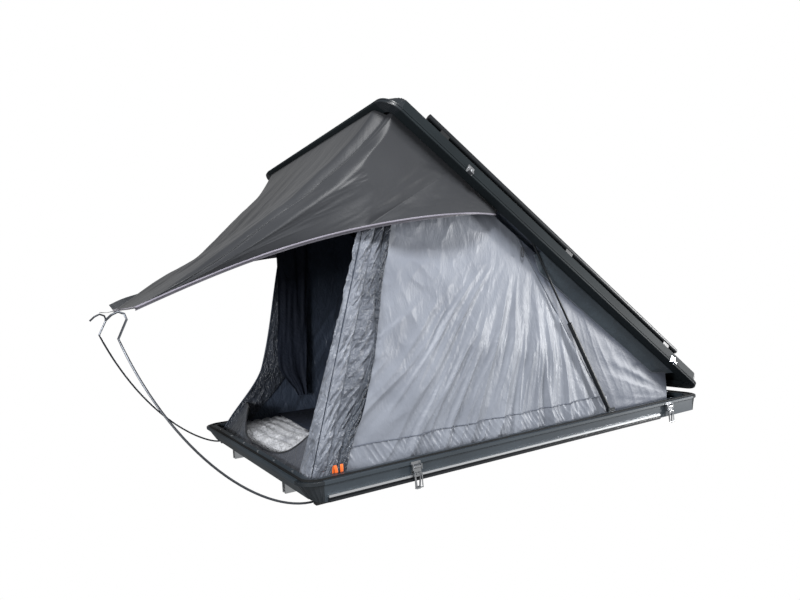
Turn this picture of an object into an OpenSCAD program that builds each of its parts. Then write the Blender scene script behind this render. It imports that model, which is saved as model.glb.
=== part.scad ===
// Hard-shell roof top tent: the lid stands open on its rear hinge, two spring rods hold the awning out.
// X runs to the hinge end, -Y is the side seen in the photo, Z is up from the undersides of the roof rails.

/* [Shell] */
// Length over the lips
shell_l = 2120; // [1900:10:2300]
// Width over the lips
shell_w = 1300; // [1200:10:1500]
// Corner radius of the lips
corner_r = 75; // [70:1:95]
// Wall height of the base below its lip
base_h = 70; // [65:1:90]
// Wall height of the lid above its lip
lid_h = 56; // [52:1:80]
// Inward lean of the end walls
end_lean = 45; // [20:1:48]
// Inward lean of the base side walls
base_lean = 8; // [4:1:15]
// Inward lean of the lid side walls
lid_lean = 14; // [6:1:20]
// Metal thickness of the frame extrusions
wall_t = 3; // [2:0.5:4]
// Width of the lip flanges
lip_w = 50; // [45:1:55]
// Gap between the closed lips
lip_gap = 4; // [4:0.5:6]
// Ribs on each corner casting
ribs = 6; // [4:1:9]
// Depth of the corner ribs
rib_d = 4; // [1:0.5:4]
// Thickness of the floor panel
floor_t = 14; // [10:1:20]

/* [Opening] */
// Lid opening angle in degrees
lid_open = 36.2; // [20:0.1:40]
// Hinge axis behind the shell end
hinge_out = 18; // [15:1:24]
// Hinge axis above the base lip
hinge_up = 22; // [20:1:28]
// Hinge pin diameter
pin_d = 8; // [6:1:10]
// Distance between neighbouring hinges
hinge_pitch = 400; // [300:10:500]
// Radial running clearance of pins and rods
fit = 0.05; // [0.02:0.01:0.1]

/* [Roof rails] */
// Distance of each mounting rail from the middle
rail_y = 320; // [250:10:450]
// Width of the mounting rails
rail_w = 30; // [26:1:45]
// Height of the mounting rails
rail_h = 45; // [40:1:60]
// Width of the slot in the rail underside
slot_w = 10; // [8:0.5:12]

/* [Gas struts] */
// Strut foot from the shell middle
strut_foot_x = 459; // [400:1:520]
// Strut head on the lid from the shell middle
strut_head_x = -210; // [-260:1:-160]
// Strut head above the base lip with the lid closed
strut_head_z = 30; // [26:1:34]
// Strut plane from the middle
strut_in = 18; // [16:1:24]
// Cylinder diameter
tube_d = 20; // [18:1:24]
// Cylinder length from its pivot
tube_l = 461; // [440:1:480]
// Piston rod diameter
piston_d = 10; // [8:1:12]

/* [Load rails] */
// Length of the tubes on the lid
load_l = 1718; // [1500:2:1800]
// Tube diameter
load_d = 25; // [20:1:32]
// Tube axis above the lid skin
load_up = 50; // [34:1:60]

/* [Latches] */
// Front latch from the shell middle
latch_front = -636; // [-700:1:-560]
// Rear latch from the shell middle
latch_rear = 788; // [740:1:830]

/* [Awning] */
// Spring rod diameter
rod_d = 8; // [6:0.5:10]
// Spring rod socket inside the shell side
rod_in = 70; // [62:1:90]
// Spring rod reach in front of the shell
rod_reach = 506; // [460:1:540]
// Height of the rod hook above the base lip
rod_rise = 591; // [520:1:640]
// Distance of the rod hooks from the middle
hook_y = 330; // [280:1:400]
// Lead of the near rod out of its socket before it bends
near_lead = 180; // [120:1:240]
// Lead of the far rod out of its socket before it bends
far_lead = 60; // [40:1:120]
// Half width of the awning's front edge
hem_half = 321; // [270:1:325]
// Sag of the awning between the lid and its front edge
awning_sag = 65; // [30:1:120]
// Rearward bow of the far wall along the door
far_bow = 110; // [0:1:130]

/* [Bedding] */
// Mattress thickness at its seams
bed_t = 58; // [45:1:62]
// Crown of the mattress between seams
bed_crown = 7; // [4:1:10]
// Fabric thickness in the solids
cloth_t = 2; // [1:0.5:3]

/* [Hidden] */
$fn = 48;
half_l = shell_l / 2;
half_w = shell_w / 2;
lip_z = rail_h + base_h;
floor_z = floor_t + wall_t - base_h;
cloth_z = floor_z + 0.3;
foot_w = 18;
hem_h = 16;
panel_t = 3;
liner_t = 8;
lid_top = lip_gap + lid_h;
hinge_x = half_l + hinge_out;
strut_y = half_w - lip_w - strut_in;
strut_foot_z = 4;
cloth_y = strut_y - tube_d / 2 - 14;
cloth_front = half_l - lip_w - 8;
cloth_rear = half_l - 140;
rail_half = half_l - end_lean - 9;
rod_y = half_w - rod_in;
rod_z = -base_h - 10;
socket_l = 105;
socket_x = -(half_l - end_lean - foot_w - 2);
tip_x = half_l + rod_reach;
base_x = (tip_x - hinge_x) / 2;
eye_w = 14;

// Cross-section of the base frame: inset, share of the wall lean, height and rib share
function base_prof() = [
  [1.5, 0, 0, 0], [0, 0, -1.5, 0], [0, 0, -12, 0], [5, 0.1, -16, 0.4], [0, 1, -base_h, 0.7],
  [foot_w, 1, -base_h, 0], [foot_w, 1, wall_t - base_h, 0], [wall_t + 1, 1, wall_t - base_h, 0],
  [6 + wall_t, 0.1, -16, 0], [6 + wall_t, 0, -wall_t, 0], [lip_w - wall_t, 0, -wall_t, 0],
  [lip_w - wall_t, 0, -hem_h, 0], [lip_w, 0, -hem_h, 0], [lip_w, 0, 0, 0]
];
// Convex pieces of that cross-section, for its cut ends
function base_cut() = [
  [4, 5, 6, 7], [3, 4, 7, 8], [2, 3, 8, 9], [0, 1, 2, 9], [13, 0, 9, 10], [12, 13, 10, 11]
];
// Cross-section of the lid frame, listed the same way round
function lid_prof() = [
  [lip_w, 0, 0, 0], [lip_w, 0, hem_h, 0], [lip_w - wall_t, 0, hem_h, 0], [lip_w - wall_t, 0, wall_t, 0],
  [6 + wall_t, 0, wall_t, 0], [6 + wall_t, 0.1, 20, 0], [wall_t + 1, 1, lid_h - wall_t, 0],
  [foot_w, 1, lid_h - wall_t, 0], [foot_w, 1, lid_h, 0], [0, 1, lid_h, 0.7], [5, 0.1, 20, 0.4],
  [0, 0, 16, 0], [0, 0, 11, 0], [2, 0, 10, 0], [2, 0, 8, 0], [0, 0, 7, 0], [0, 0, 1.5, 0], [1.5, 0, 0, 0]
];
function lid_cut() = [
  [0, 1, 2, 3], [17, 0, 3, 4], [6, 7, 8, 9], [5, 6, 9, 10], [4, 5, 10, 11], for (j = [11:16]) [4, j, j + 1]
];
// Outline of a plate with rounded corners
function plate_pts(hl, hw, r) = [
  for (q = [0:3], a = [0:15:90])
    [(q == 0 || q == 3 ? 1 : -1) * (hl - r), (q < 2 ? 1 : -1) * (hw - r)]
      + r * [cos(90 * q + a), sin(90 * q + a)]
];
// A point of the closed lid turned to its open place
function lid_pt(x, y, z) = [
  hinge_x + (x - hinge_x) * cos(lid_open) + (z - hinge_up) * sin(lid_open), y,
  hinge_up - (x - hinge_x) * sin(lid_open) + (z - hinge_up) * cos(lid_open)
];
// Inset of the base side wall at a height below its bead
function wall_in(z) = let (s = (-z - 16) / (base_h - 16)) 5 * (1 - s) + base_lean * (0.1 + 0.9 * s);
function mix(a, b, t) = a + (b - a) * t;
// Spring rod: straight out of its socket, then a bow up and inward to the foot of its hook
function rod_pt(t, lead) = let (
    a = [-half_l + 68, rod_y, rod_z], b = a + [-lead, 0, -10],
    d = rod_end(), c = d + [205 - 0.44 * lead, 125 - 0.19 * lead, 0.31 * lead - 444], s = 1 - t
  ) s * s * s * a + 3 * s * s * t * b + 3 * s * t * t * c + t * t * t * d;
function rod_end() = [-tip_x + 37, hook_y + 15, rod_rise - 89];
// Hook at the rod end: kinked back, over the top and down in front
function hook_pts() = [
  for (p = [[30, -10, 61], [24, -13, 79], [6, -15, 87], [-14, -15, 78], [-33, -15, 61]]) rod_end() + p
];

// Front edge of the side walls at a height
function door_x(z) = let (top = lid_pt(-cloth_front + 10, 0, lip_gap - 2))
  mix(-cloth_front, top[0], (z - cloth_z) / (top[2] - cloth_z));
// Front edge of the awning, from -1 at its near corner to 1 at its far corner
function awning_corner(side) = [-tip_x + 97, side * hem_half, rod_rise + 8];

strut_head = lid_pt(strut_head_x, strut_y, strut_head_z);
strut_span = norm([strut_head[0] - strut_foot_x, strut_head[2] - strut_foot_z]);
strut_tilt = atan2(strut_head[0] - strut_foot_x, strut_head[2] - strut_foot_z);

module on_base() {
  translate([base_x, 0, lip_z])
    children();
}
module on_lid() {
  on_base()
    translate([hinge_x, 0, hinge_up])
      rotate([0, lid_open, 0])
        translate([-hinge_x, 0, -hinge_up])
          children();
}
// A bar along X from a cross-section in Y and Z
module along_x(l) {
  rotate([90, 0, 90])
    linear_extrude(l, center = true)
      children();
}
// A bar along Y from a cross-section in X and Z
module along_y(l) {
  rotate([90, 0, 0])
    linear_extrude(l, center = true)
      children();
}
module side_bar(prof, lean) {
  along_x(shell_l - 2 * corner_r)
    polygon([for (p = prof) [half_w - p[0] - p[1] * lean, p[2]]]);
}
module end_bar(prof) {
  along_y(shell_w - 2 * corner_r)
    polygon([for (p = prof) [half_l - p[0] - p[1] * end_lean, p[2]]]);
}
module far_and_near() {
  children();
  mirror([0, 1, 0])
    children();
}
// One ribbed corner casting swept round the lip radius
module corner(prof, cut, lean) {
  n = 3 * ribs;
  m = len(prof);
  pts = [
    for (i = [0:n], p = prof)
      let (a = 90 * i / n, in = p[0] + (i % 3 == 0 ? 0 : rib_d * p[3]))
        [half_l - corner_r + (corner_r - in - p[1] * end_lean) * cos(a),
         half_w - corner_r + (corner_r - in - p[1] * lean) * sin(a), p[2]]
  ];
  faces = [
    each cut,
    for (q = cut) [for (j = [len(q) - 1:-1:0]) n * m + q[j]],
    for (i = [0:n - 1], j = [0:m - 1]) [i * m + j, (i + 1) * m + j, i * m + (j + 1) % m],
    for (i = [0:n - 1], j = [0:m - 1]) [(i + 1) * m + j, (i + 1) * m + (j + 1) % m, i * m + (j + 1) % m]
  ];
  polyhedron(pts, faces, convexity = 6);
}
module corners(prof, cut, lean) {
  far_and_near() {
    corner(prof, cut, lean);
    mirror([1, 0, 0])
      corner(prof, cut, lean);
  }
}
// A cloth solid: a grid of points, and the direction of its thickness along u
module cloth(f, nu, nv, thick) {
  w = nv + 1;
  k = (nu + 1) * w;
  pts = [for (s = [0, 1], i = [0:nu], j = [0:nv]) f(i / nu, j / nv) + (s - 0.5) * thick(i / nu)];
  rim = concat(
    [for (i = [0:nu - 1]) i * w], [for (j = [0:nv - 1]) nu * w + j],
    [for (i = [nu:-1:1]) i * w + nv], [for (j = [nv:-1:1]) j]
  );
  c = len(rim);
  faces = [
    for (i = [0:nu - 1], j = [0:nv - 1]) [i * w + j, i * w + j + 1, i * w + w + j],
    for (i = [0:nu - 1], j = [0:nv - 1]) [i * w + w + j, i * w + j + 1, i * w + w + j + 1],
    for (i = [0:nu - 1], j = [0:nv - 1]) [k + i * w + j, k + i * w + w + j, k + i * w + j + 1],
    for (i = [0:nu - 1], j = [0:nv - 1]) [k + i * w + w + j, k + i * w + w + j + 1, k + i * w + j + 1],
    for (q = [0:c - 1]) [rim[q], rim[(q + 1) % c], k + rim[q]],
    for (q = [0:c - 1]) [rim[(q + 1) % c], k + rim[(q + 1) % c], k + rim[q]]
  ];
  polyhedron(pts, faces, convexity = 10);
}

// Base
module base_side_near() {
  color("dimgray") on_base() mirror([0, 1, 0]) side_bar(base_prof(), base_lean);
}
module base_side_far() {
  color("dimgray") on_base() side_bar(base_prof(), base_lean);
}
module base_end_front() {
  color("dimgray") on_base() mirror([1, 0, 0]) end_bar(base_prof());
}
module base_end_rear() {
  color("dimgray") on_base() end_bar(base_prof());
}
module base_corners() {
  color("black") on_base() corners(base_prof(), base_cut(), base_lean);
}
module floor_panel() {
  color("silver")
    on_base()
      translate([0, 0, wall_t - base_h])
        linear_extrude(floor_t)
          polygon(plate_pts(half_l - end_lean - wall_t - 3, half_w - base_lean - wall_t - 3, corner_r - 33));
}
module rail(y) {
  on_base()
    translate([0, y, -lip_z])
      along_x(2 * rail_half)
        difference() {
          translate([-rail_w / 2, 0])
            square([rail_w, rail_h]);
          translate([-slot_w / 2, -1])
            square([slot_w, 6]);
          translate([-slot_w, 4])
            square([2 * slot_w, 9]);
          translate([-slot_w, 17])
            square([2 * slot_w, rail_h - 21]);
        }
}
module rail_near() {
  color("silver") rail(-rail_y);
}
module rail_far() {
  color("silver") rail(rail_y);
}
module rail_shims() {
  color("black")
    on_base()
      far_and_near()
        translate([0, rail_y, wall_t / 2 - base_h])
          cube([2 * rail_half - 60, rail_w - 8, wall_t], center = true);
}
// Accessory track: a slotted bar that follows the leaning wall
module track() {
  top = 23 - base_h;
  translate([-126, 0, 0])
    along_x(shell_l * 0.8)
      difference() {
        polygon([
          [half_w - wall_in(top), top], [half_w + 4, top],
          [half_w + 4, -base_h], [half_w - wall_in(-base_h), -base_h]
        ]);
        translate([half_w - 2, top - 15])
          square([7, 7]);
      }
}
module track_near() {
  color("silver") on_base() mirror([0, 1, 0]) track();
}
module track_far() {
  color("silver") on_base() track();
}
module lip_seal() {
  color("black")
    on_base()
      linear_extrude(lip_gap - 0.5)
        difference() {
          polygon(plate_pts(half_l - 14, half_w - 14, corner_r - 14));
          polygon(plate_pts(half_l - 24, half_w - 24, corner_r - 24));
        }
}
module gutter_screws() {
  color("silver")
    on_base()
      for (x = [-1, 1], y = [-2.5:1:2.5])
        translate([x * (half_l - 38), y * shell_w / 7, 0])
          cylinder(h = 2, d = 9);
}
// Sockets under the front corners that the awning rods slide into
module rod_sockets() {
  color("black")
    on_base()
      far_and_near()
        translate([socket_x, rod_y, rod_z])
          difference() {
            translate([0, -12, -12])
              cube([socket_l, 24, 12 - rod_z - base_h + wall_t]);
            rotate([0, 90, 0])
              cylinder(h = 3 * socket_l, d = rod_d + 2 * fit, center = true);
          }
}
module latch_places() {
  far_and_near()
    for (x = [latch_front, latch_rear])
      translate([x, half_w, 0])
        children();
}
module latch_plates() {
  color("silver")
    on_base()
      latch_places() {
        translate([-20, 0, -44])
          cube([40, 3, 42]);
        for (x = [-20, 16])
          translate([x, 0, -30])
            cube([4, 13, 20]);
        translate([-20, 10, -20])
          rotate([0, 90, 0])
            cylinder(h = 40, d = 5);
      }
}
// Toggle handle hanging from the plate pin, with two ears for the bail
module lever() {
  difference() {
    union() {
      translate([-12.5, 10, -20])
        rotate([0, 90, 0])
          cylinder(h = 25, d = 11);
      translate([0, 11.5, 0])
        rotate([90, 0, 0])
          linear_extrude(3.5)
            difference() {
              polygon([[-15, -20], [15, -20], [15, -46], [8, -98], [-8, -98], [-15, -46]]);
              polygon([[-8, -54], [8, -54], [4, -88], [-4, -88]]);
            }
      for (x = [-9, 6])
        translate([x, 9, -46])
          cube([3, 10, 8]);
    }
    translate([-25, 10, -20])
      rotate([0, 90, 0])
        cylinder(h = 50, d = 5 + 2 * fit);
    translate([-25, 15.5, -42])
      rotate([0, 90, 0])
        cylinder(h = 50, d = 4 + 2 * fit);
  }
}
// Wire bail on the handle
module bail() {
  for (z = [-42, -92])
    translate([-17, 15.5, z])
      rotate([0, 90, 0])
        cylinder(h = 34, d = 4);
  for (x = [-15, 15])
    translate([x, 15.5, -92])
      cylinder(h = 50, d = 4);
}
module near_latch(x) {
  on_base() translate([x, -half_w, 0]) mirror([0, 1, 0]) children();
}
module far_latch(x) {
  on_base() translate([x, half_w, 0]) children();
}
module lever_near_front() {
  color("silver") near_latch(latch_front) lever();
}
module lever_near_rear() {
  color("silver") near_latch(latch_rear) lever();
}
module lever_far_front() {
  color("silver") far_latch(latch_front) lever();
}
module lever_far_rear() {
  color("silver") far_latch(latch_rear) lever();
}
module bail_near_front() {
  color("gray") near_latch(latch_front) bail();
}
module bail_near_rear() {
  color("gray") near_latch(latch_rear) bail();
}
module bail_far_front() {
  color("gray") far_latch(latch_front) bail();
}
module bail_far_rear() {
  color("gray") far_latch(latch_rear) bail();
}

// Hinges at the rear end
module hinge_places() {
  for (y = [-hinge_pitch, 0, hinge_pitch])
    translate([hinge_x, y, hinge_up])
      children();
}
module hinge_base_leaves() {
  arm = hinge_out - 2;
  color("black")
    on_base()
      hinge_places()
        difference() {
          for (y = [-44, 20])
            translate([0, y, 0]) {
              rotate([-90, 0, 0])
                cylinder(h = 24, d = pin_d + 10);
              translate([-arm, 0, -hinge_up - 12])
                cube([arm, 24, hinge_up + 12]);
              translate([-hinge_out, 0, -hinge_up - 12])
                cube([hinge_out, 24, 10]);
            }
          rotate([90, 0, 0])
            cylinder(h = 120, d = pin_d + 2 * fit, center = true);
        }
}
module hinge_lid_leaves() {
  arm = hinge_up - lip_gap - 1.5;
  color("black")
    on_lid()
      hinge_places()
        difference() {
          translate([0, -19.5, 0]) {
            rotate([-90, 0, 0])
              cylinder(h = 39, d = pin_d + 10);
            translate([-hinge_out, 0, -arm])
              cube([hinge_out, 39, 12]);
          }
          rotate([90, 0, 0])
            cylinder(h = 120, d = pin_d + 2 * fit, center = true);
        }
}
module hinge_pins() {
  color("silver")
    on_base()
      hinge_places()
        rotate([90, 0, 0]) {
          cylinder(h = 88, d = pin_d, center = true);
          for (z = [-46, 46])
            translate([0, 0, z])
              cylinder(h = 4, d = pin_d + 5, center = true);
        }
}

// Lid, drawn closed and turned up on the hinge
module lid_frame() {
  on_lid() translate([0, 0, lip_gap]) children();
}
module lid_side_near() {
  color("dimgray") lid_frame() mirror([0, 1, 0]) side_bar(lid_prof(), lid_lean);
}
module lid_side_far() {
  color("dimgray") lid_frame() side_bar(lid_prof(), lid_lean);
}
module lid_end_front() {
  color("dimgray") lid_frame() mirror([1, 0, 0]) end_bar(lid_prof());
}
module lid_end_rear() {
  color("dimgray") lid_frame() end_bar(lid_prof());
}
module lid_corners() {
  color("black") lid_frame() corners(lid_prof(), lid_cut(), lid_lean);
}
module lid_panel() {
  color("dimgray")
    lid_frame()
      translate([0, 0, lid_h - wall_t - panel_t])
        linear_extrude(panel_t)
          polygon(plate_pts(half_l - end_lean - wall_t - 6, half_w - lid_lean - wall_t - 6, corner_r - 35));
}
module headliner() {
  color("midnightblue")
    lid_frame()
      translate([0, 0, lid_h - wall_t - panel_t - liner_t])
        linear_extrude(liner_t)
          polygon(plate_pts(half_l - end_lean - 60, half_w - lid_lean - 60, corner_r - 35));
}
module load_axis() {
  on_lid()
    translate([0, half_w - 60, lid_top - wall_t + load_up])
      rotate([0, 90, 0])
        children();
}
module load_rail() {
  load_axis()
    difference() {
      cylinder(h = load_l, d = load_d, center = true);
      cylinder(h = load_l + 2, d = load_d - 5, center = true);
    }
}
module load_rail_far() {
  color("black") load_rail();
}
module load_rail_near() {
  color("black") mirror([0, 1, 0]) load_rail();
}
module load_caps() {
  color("black")
    far_and_near()
      load_axis()
        for (m = [0, 1])
          mirror([0, 0, m])
            translate([0, 0, load_l / 2]) {
              cylinder(h = 4, d = load_d);
              translate([0, 0, -12])
                cylinder(h = 12, d = load_d - 5);
            }
}
module load_feet() {
  color("black")
    on_lid()
      far_and_near()
        for (x = [-0.45, 0, 0.45])
          translate([x * load_l, half_w - 60, lid_top - wall_t])
            difference() {
              translate([-22, -10, 0])
                cube([44, 20, load_up]);
              translate([0, 0, load_up])
                rotate([0, 90, 0])
                  cylinder(h = 60, d = load_d, center = true);
            }
}
module keeper_places() {
  on_lid()
    far_and_near()
      for (x = [latch_front, latch_rear])
        translate([x, half_w, lip_gap])
          children();
}
module keepers() {
  color("white")
    keeper_places() {
      translate([-16, 0, 0])
        cube([32, 2, 30]);
      translate([-11, 2, 0])
        cube([22, 18, 1.6]);
      translate([-11, 18.2, 1.6])
        cube([22, 1.8, 4]);
    }
}
module keeper_screws() {
  color("silver")
    keeper_places()
      for (x = [-9, 9])
        translate([x, 2, 20])
          rotate([-90, 0, 0])
            cylinder(h = 2, d = 9);
}

// Gas struts
module strut_base_brackets() {
  color("black")
    on_base()
      far_and_near()
        translate([strut_foot_x, half_w - lip_w, strut_foot_z]) {
          translate([-20, -3.5, -hem_h - strut_foot_z])
            cube([40, 3, hem_h + strut_foot_z + 10]);
          translate([-20, -1, -hem_h - strut_foot_z])
            cube([40, 1, hem_h - 1]);
          translate([0, -0.5, 0])
            rotate([90, 0, 0])
              cylinder(h = strut_in + eye_w / 2 - 0.5, d = pin_d);
        }
}
module strut_lid_brackets() {
  color("black")
    on_lid()
      far_and_near()
        translate([strut_head_x, half_w - lip_w, strut_head_z]) {
          translate([-20, -3, lip_gap - strut_head_z])
            cube([40, 3, strut_head_z - lip_gap + 10]);
          rotate([90, 0, 0])
            cylinder(h = strut_in - eye_w / 2 - 0.5, d = pin_d + 6);
        }
}
module strut_axis() {
  on_base()
    translate([strut_foot_x, strut_y, strut_foot_z])
      rotate([0, strut_tilt, 0])
        children();
}
module strut_eye() {
  rotate([90, 0, 0])
    cylinder(h = eye_w, d = pin_d + 12, center = true);
}
module strut_tube() {
  strut_axis()
    difference() {
      union() {
        strut_eye();
        cylinder(h = tube_l, d = tube_d);
      }
      rotate([90, 0, 0])
        cylinder(h = 60, d = pin_d + 2 * fit, center = true);
      translate([0, 0, 24])
        cylinder(h = tube_l - 24 - 16, d = tube_d - 4);
      cylinder(h = 2 * tube_l, d = piston_d + 2 * fit);
    }
}
module strut_rod() {
  strut_axis() {
    translate([0, 0, strut_span])
      strut_eye();
    translate([0, 0, tube_l - 90])
      cylinder(h = strut_span - tube_l + 90, d = piston_d);
    translate([0, 0, tube_l - 90])
      cylinder(h = 14, d = tube_d - 4.6);
  }
}
module strut_tube_far() {
  color("black") strut_tube();
}
module strut_tube_near() {
  color("black") mirror([0, 1, 0]) strut_tube();
}
module strut_rod_far() {
  color("silver") strut_rod();
}
module strut_rod_near() {
  color("silver") mirror([0, 1, 0]) strut_rod();
}

// Awning rods, bedding and fabric
module rod(lead) {
  n = 30;
  path = [for (i = [0:n]) rod_pt(i / n, lead), each hook_pts()];
  last = len(path) - 1;
  m = 8;
  pts = [
    for (i = [0:last])
      let (
        d = path[min(i + 1, last)] - path[max(i - 1, 0)], t = d / norm(d),
        a = cross(t, [0, 1, 0]), u = a / norm(a), v = cross(t, u)
      )
        for (j = [0:m - 1]) path[i] + (rod_d / 2 - 0.2) * (cos(360 * j / m) * u + sin(360 * j / m) * v)
  ];
  faces = [
    [for (j = [0:m - 1]) j],
    [for (j = [m - 1:-1:0]) last * m + j],
    for (i = [0:last - 1], j = [0:m - 1]) [i * m + j, (i + 1) * m + j, i * m + (j + 1) % m],
    for (i = [0:last - 1], j = [0:m - 1]) [(i + 1) * m + j, (i + 1) * m + (j + 1) % m, i * m + (j + 1) % m]
  ];
  on_base() {
    polyhedron(pts, faces, convexity = 8);
    translate([-half_l + 60, rod_y, rod_z])
      rotate([0, 90, 0])
        cylinder(h = socket_l, d = rod_d);
  }
}
module rod_near() {
  color("gray") mirror([0, 1, 0]) rod(near_lead);
}
module rod_far() {
  color("gray") rod(far_lead);
}
module mattress() {
  bw = 2 * cloth_y - 40;
  f = function (u, v) [
    mix(-cloth_front + 84, cloth_rear - 22, u), mix(-bw / 2, bw / 2, v),
    floor_z + bed_t / 2 + bed_crown * abs(sin(180 * 9 * u)) * pow(max(0, sin(180 * v)), 0.2)
  ];
  color("lightgray") on_base() cloth(f, 36, 10, function (u) [0, 0, bed_t]);
}
// Side wall between the base lip and the lid lip, with folds fanning from the strut head
module side_wall(bow) {
  f = function (u, v) let (
      b = [mix(-cloth_front, cloth_rear, u), cloth_y, cloth_z],
      t = lid_pt(mix(-cloth_front + 10, cloth_rear - 26, u), cloth_y, lip_gap - 2)
    ) mix(b, t, v) + sin(180 * v) * [bow * pow(1 - u, 3), 8 * sin(1500 * u * (1 - 0.6 * v)), 0];
  on_base() cloth(f, 30, 10, function (u) [0, -cloth_t, 0]);
}
module wall_far() {
  color("lightsteelblue") side_wall(far_bow);
}
module wall_near() {
  color("lightsteelblue") mirror([0, 1, 0]) side_wall(0);
}
// Door frame: two columns and a sill with a dipped top edge
module wall_front() {
  top = lid_pt(-cloth_front + 10, 0, lip_gap - 2);
  half = cloth_y - 3;
  column = function (width, bow) function (u, v)
    mix([-cloth_front, 0, cloth_z], top, v) + [6 * sin(900 * v) + bow * sin(180 * v), half - width * u, 0];
  height = top[2] - cloth_z;
  rise = function (u) 58 + 190 * pow(abs(2 * u - 1), 5);
  sill = function (u, v) let (h = v * rise(u) / height)
    mix([-cloth_front, 0, cloth_z], top, h)
    + [20 + 4 * sin(2000 * u) * v + far_bow * u * u * sin(180 * h), mix(-half, half, u), 0];
  color("slategray")
    on_base() {
      cloth(column(24, far_bow), 3, 16, function (u) [-cloth_t, 0, 0]);
      mirror([0, 1, 0])
        cloth(column(85, 0), 3, 16, function (u) [-cloth_t, 0, 0]);
      cloth(sill, 30, 4, function (u) [cloth_t, 0, 0]);
    }
}
module wall_rear() {
  f = function (u, v) let (
      y = mix(-cloth_y, cloth_y, u),
      b = [cloth_rear + 4, y, cloth_z], t = lid_pt(cloth_rear - 20, y, lip_gap - 2)
    ) mix(b, t, v) + [5 * sin(1800 * u) * sin(180 * v), 0, 0];
  color("slategray") on_base() cloth(f, 40, 4, function (u) [cloth_t, 0, 0]);
}
// Awning: round the lid lip at its root, along the raised hem at its edge
module awning() {
  end_x = -half_l * 0.39;
  root_x = -half_l + lip_w + 3;
  root_y = half_w - lip_w - 4;
  part = function (u) abs(2 * u - 1);
  far = function (u) sign(u - 0.5);
  side = function (u) max(0, 2 * part(u) - 1);
  across = function (u) far(u) * min(1, 2 * part(u));
  chamfer = function (u) 8 * max(0, 1 - 20 * abs(part(u) - 0.5));
  root = function (u)
    lid_pt(mix(root_x, end_x, side(u)) + chamfer(u), across(u) * root_y - far(u) * chamfer(u), lip_gap + 2);
  raised = function (u) let (t = side(u))
    [0, far(u) * 154 * sin(180 * t * t), 78 * sin(180 * t) + 4 * sin(360 * t)];
  hem = function (u)
    mix(awning_corner(across(u)), lid_pt(end_x, far(u) * root_y, lip_gap - 16), side(u)) + raised(u);
  // The cloth turns inward only in front of the side walls
  turn = function (r, h) let (a = r[0] - door_x(r[2]), b = h[0] - door_x(h[2]))
    a > 0 && b < 0 ? a / (a - b) : 0;
  sag = function (u) awning_sag * pow(max(0, 1 - 2 * side(u)), 2) + 5 * sin(2400 * u);
  f = function (u, v) let (r = root(u), h = hem(u), k = turn(r, h), p = mix(r, h, v))
    [p[0], mix(r[1], h[1], max(0, v - k) / (1 - k)), p[2]]
      + sag(u) * sin(180 * pow(v, 0.8)) * [0.62, 0, -0.78];
  inward = function (u) let (w = min(1, max(0, 10 * part(u) - 4.5)))
    cloth_t * ((1 - w) * [0.62, 0, -0.78] + w * [0, -far(u), 0]);
  color("gray") on_base() cloth(f, 52, 9, inward);
}
// Webbing from the awning corners out to the rod hooks
module awning_strap() {
  hook = rod_end() + [6, -24, 84];
  f = function (u, v) mix(awning_corner(1), hook, u) - [0, 0, 18 * v];
  color("black") on_base() far_and_near() cloth(f, 8, 2, function (u) [0, -cloth_t, 0]);
}
module tags() {
  color("orange")
    on_base()
      far_and_near()
        translate([-half_l + 150, half_w - lip_w - 9, -hem_h])
          cube([12, 9, hem_h + 34]);
}

base_side_near();
base_side_far();
base_end_front();
base_end_rear();
base_corners();
floor_panel();
rail_near();
rail_far();
rail_shims();
track_near();
track_far();
lip_seal();
gutter_screws();
rod_sockets();
latch_plates();
lever_near_front();
lever_near_rear();
lever_far_front();
lever_far_rear();
bail_near_front();
bail_near_rear();
bail_far_front();
bail_far_rear();
hinge_base_leaves();
hinge_lid_leaves();
hinge_pins();
lid_side_near();
lid_side_far();
lid_end_front();
lid_end_rear();
lid_corners();
lid_panel();
headliner();
load_rail_near();
load_rail_far();
load_caps();
load_feet();
keepers();
keeper_screws();
strut_base_brackets();
strut_lid_brackets();
strut_tube_near();
strut_tube_far();
strut_rod_near();
strut_rod_far();
rod_near();
rod_far();
mattress();
wall_near();
wall_far();
wall_front();
wall_rear();
awning();
awning_strap();
tags();
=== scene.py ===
import math

import bmesh
import bpy
import numpy as np
from mathutils import Matrix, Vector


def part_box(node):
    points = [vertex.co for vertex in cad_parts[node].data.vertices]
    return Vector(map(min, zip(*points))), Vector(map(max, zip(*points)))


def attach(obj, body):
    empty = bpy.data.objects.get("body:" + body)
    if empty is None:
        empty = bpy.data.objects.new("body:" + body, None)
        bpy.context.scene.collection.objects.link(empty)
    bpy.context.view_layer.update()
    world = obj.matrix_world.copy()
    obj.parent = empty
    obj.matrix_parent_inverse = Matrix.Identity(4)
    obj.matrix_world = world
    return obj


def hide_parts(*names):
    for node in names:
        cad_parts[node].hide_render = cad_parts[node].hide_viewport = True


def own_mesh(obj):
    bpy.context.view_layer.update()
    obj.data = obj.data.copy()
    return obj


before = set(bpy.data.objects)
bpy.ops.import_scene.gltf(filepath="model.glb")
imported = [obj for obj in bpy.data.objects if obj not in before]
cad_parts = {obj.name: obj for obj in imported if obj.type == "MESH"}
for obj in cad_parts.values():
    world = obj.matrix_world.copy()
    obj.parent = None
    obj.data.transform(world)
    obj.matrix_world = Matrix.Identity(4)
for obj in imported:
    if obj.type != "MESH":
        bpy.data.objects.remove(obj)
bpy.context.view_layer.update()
scene = bpy.context.scene

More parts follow.
